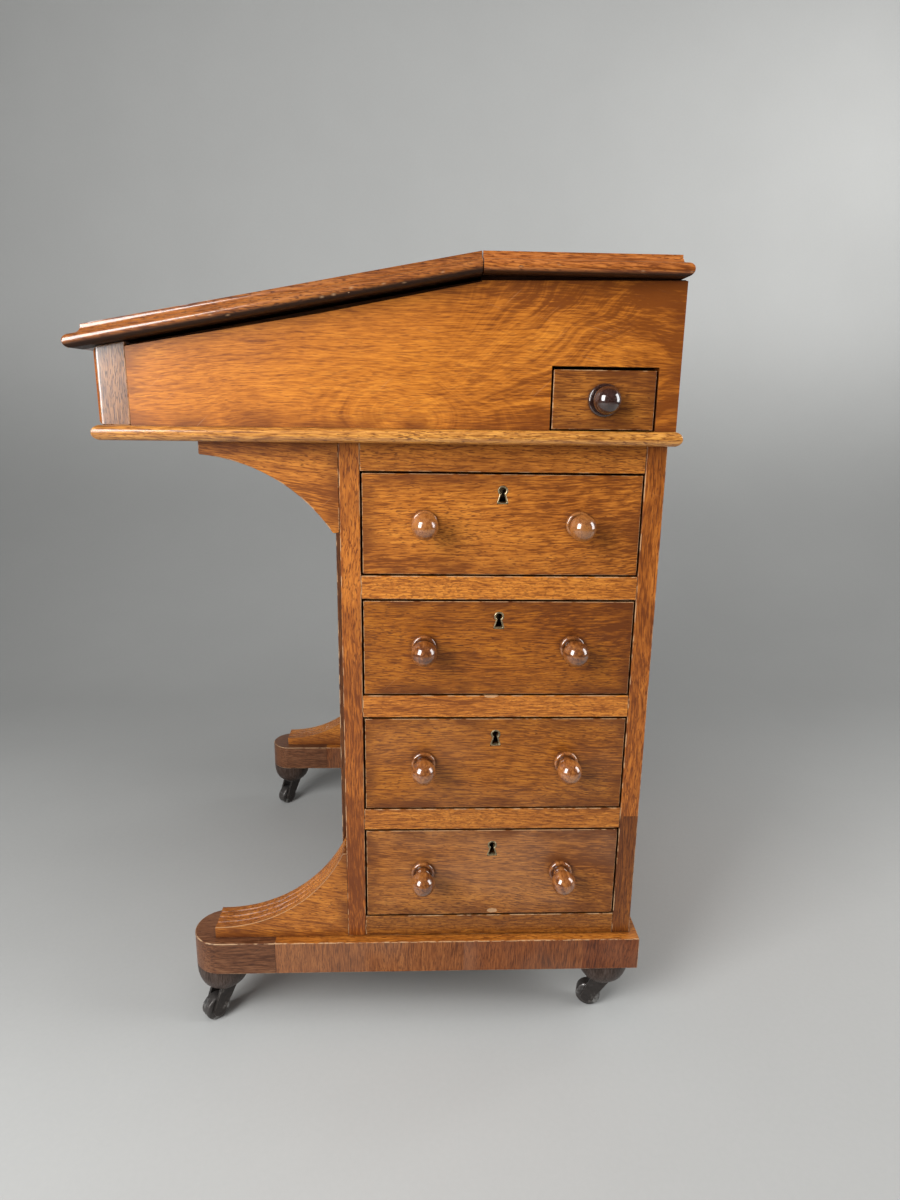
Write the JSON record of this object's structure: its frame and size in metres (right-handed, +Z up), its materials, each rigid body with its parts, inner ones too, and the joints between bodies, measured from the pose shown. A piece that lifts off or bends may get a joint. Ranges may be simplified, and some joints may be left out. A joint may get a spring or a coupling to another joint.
{
  "type": "davenport desk",
  "caption": "Small writing desk with a hinged slope over a shallow box, on a pedestal of side drawers with reeded brackets, long feet and casters.",
  "frame": {"origin": "on the floor under the middle of the desk's overall width and depth", "axes": "+Z up, +X towards the side the drawers open on, -Y towards the sitter"},
  "size_m": [0.6426, 0.5721, 0.844],
  "materials": {
    "mahogany_side": "french polished",
    "mahogany_drawer": "french polished",
    "mahogany_rail": "french polished",
    "mahogany_stile": "french polished",
    "mahogany_base": "french polished",
    "mahogany_top": "french polished",
    "knob_wood": "french polished",
    "bun_wood": "french polished",
    "pen_knob_wood": "french polished",
    "secondary_wood": "bare, waxed",
    "iron": "dark, rubbed",
    "wheel_iron": "worn bright on the tread",
    "brass": "aged",
    "desk_leather": "skiver, gilt line border"
  },
  "bodies": {
    "desk": {"caster_buns": "bun_wood", "foot_right": "mahogany_base", "foot_left": "mahogany_base", "plinth_rails": "secondary_wood", "dust_board": "secondary_wood", "stile_front_right": "mahogany_stile", "stile_back_right": "mahogany_stile", "stiles_left": "mahogany_stile", "drawer_rails_right": "mahogany_rail", "top_rail_right": "mahogany_rail", "rails_left": "mahogany_rail", "pedestal_front_panel": "mahogany_stile", "pedestal_back_panel": "mahogany_side", "drawer_runners": "secondary_wood", "upper_bracket_right": "mahogany_rail", "lower_bracket_right": "mahogany_rail", "upper_bracket_left": "mahogany_rail", "lower_bracket_left": "mahogany_rail", "box_bottom": "mahogany_rail", "box_side_right": "mahogany_side", "box_side_left": "mahogany_side", "box_front": "mahogany_side", "box_back": "mahogany_side", "top_board": "mahogany_top", "hinge_leaves_top": "brass", "lid_lock": "brass", "pen_drawer_housing": "secondary_wood", "dummy_drawer_fronts": "mahogany_drawer", "dummy_drawer_knobs": "knob_wood", "dummy_keyhole_linings": "brass"},
    "lid": {"writing_slope": "mahogany_top", "slope_leather": "desk_leather", "hinge_leaves_lid": "brass"},
    "drawer_1": {"drawer_1_front": "mahogany_drawer", "drawer_1_carcase": "secondary_wood", "drawer_1_knobs": "knob_wood", "drawer_1_lock": "brass"},
    "drawer_2": {"drawer_2_front": "mahogany_drawer", "drawer_2_carcase": "secondary_wood", "drawer_2_knobs": "knob_wood", "drawer_2_lock": "brass"},
    "drawer_3": {"drawer_3_front": "mahogany_drawer", "drawer_3_carcase": "secondary_wood", "drawer_3_knobs": "knob_wood", "drawer_3_lock": "brass"},
    "drawer_4": {"drawer_4_front": "mahogany_drawer", "drawer_4_carcase": "secondary_wood", "drawer_4_knobs": "knob_wood", "drawer_4_lock": "brass"},
    "pen_drawer": {"pen_drawer_front": "mahogany_drawer", "pen_drawer_carcase": "secondary_wood", "pen_drawer_knob": "pen_knob_wood"},
    "caster_front_right": {"caster_fork_front_right": "iron"},
    "wheel_front_right": {"caster_wheel_front_right": "wheel_iron"},
    "caster_front_left": {"caster_fork_front_left": "iron"},
    "wheel_front_left": {"caster_wheel_front_left": "wheel_iron"},
    "caster_back_right": {"caster_fork_back_right": "iron"},
    "wheel_back_right": {"caster_wheel_back_right": "wheel_iron"},
    "caster_back_left": {"caster_fork_back_left": "iron"},
    "wheel_back_left": {"caster_wheel_back_left": "wheel_iron"}
  },
  "joints": [
    {"name": "lid_hinge", "type": "hinge", "parent": "desk", "child": "lid", "pos_m": [0, 0.087, 0.841], "axis": [-1, 0, 0], "range_deg": [0, 105]},
    {"name": "drawer_1_slide", "type": "slide", "parent": "desk", "child": "drawer_1", "axis": [1, 0, 0], "range_m": [0, 0.34]},
    {"name": "drawer_2_slide", "type": "slide", "parent": "desk", "child": "drawer_2", "axis": [1, 0, 0], "range_m": [0, 0.34]},
    {"name": "drawer_3_slide", "type": "slide", "parent": "desk", "child": "drawer_3", "axis": [1, 0, 0], "range_m": [0, 0.34]},
    {"name": "drawer_4_slide", "type": "slide", "parent": "desk", "child": "drawer_4", "axis": [1, 0, 0], "range_m": [0, 0.34]},
    {"name": "pen_drawer_slide", "type": "slide", "parent": "desk", "child": "pen_drawer", "axis": [1, 0, 0], "range_m": [0, 0.16]},
    {"name": "caster_front_right_swivel", "type": "hinge", "parent": "desk", "child": "caster_front_right", "pos_m": [0.2575, -0.1955, 0.04], "axis": [0, 0, 1], "continuous": true},
    {"name": "wheel_front_right_spin", "type": "hinge", "parent": "caster_front_right", "child": "wheel_front_right", "pos_m": [0.26687, -0.2059, 0.0145], "axis": [0.7431, 0.6691, 0], "continuous": true},
    {"name": "caster_front_left_swivel", "type": "hinge", "parent": "desk", "child": "caster_front_left", "pos_m": [-0.2575, -0.1955, 0.04], "axis": [0, 0, 1], "continuous": true},
    {"name": "wheel_front_left_spin", "type": "hinge", "parent": "caster_front_left", "child": "wheel_front_left", "pos_m": [-0.24677, -0.2045, 0.0145], "axis": [0.6428, 0.766, 0], "continuous": true},
    {"name": "caster_back_right_swivel", "type": "hinge", "parent": "desk", "child": "caster_back_right", "pos_m": [0.2575, 0.2525, 0.04], "axis": [0, 0, 1], "continuous": true},
    {"name": "wheel_back_right_spin", "type": "hinge", "parent": "caster_back_right", "child": "wheel_back_right", "pos_m": [0.25317, 0.23919, 0.0145], "axis": [0.9511, -0.309, 0], "continuous": true},
    {"name": "caster_back_left_swivel", "type": "hinge", "parent": "desk", "child": "caster_back_left", "pos_m": [-0.2575, 0.2525, 0.04], "axis": [0, 0, 1], "continuous": true},
    {"name": "wheel_back_left_spin", "type": "hinge", "parent": "caster_back_left", "child": "wheel_back_left", "pos_m": [-0.26986, 0.24593, 0.0145], "axis": [0.4695, -0.8829, 0], "continuous": true}
  ]
}
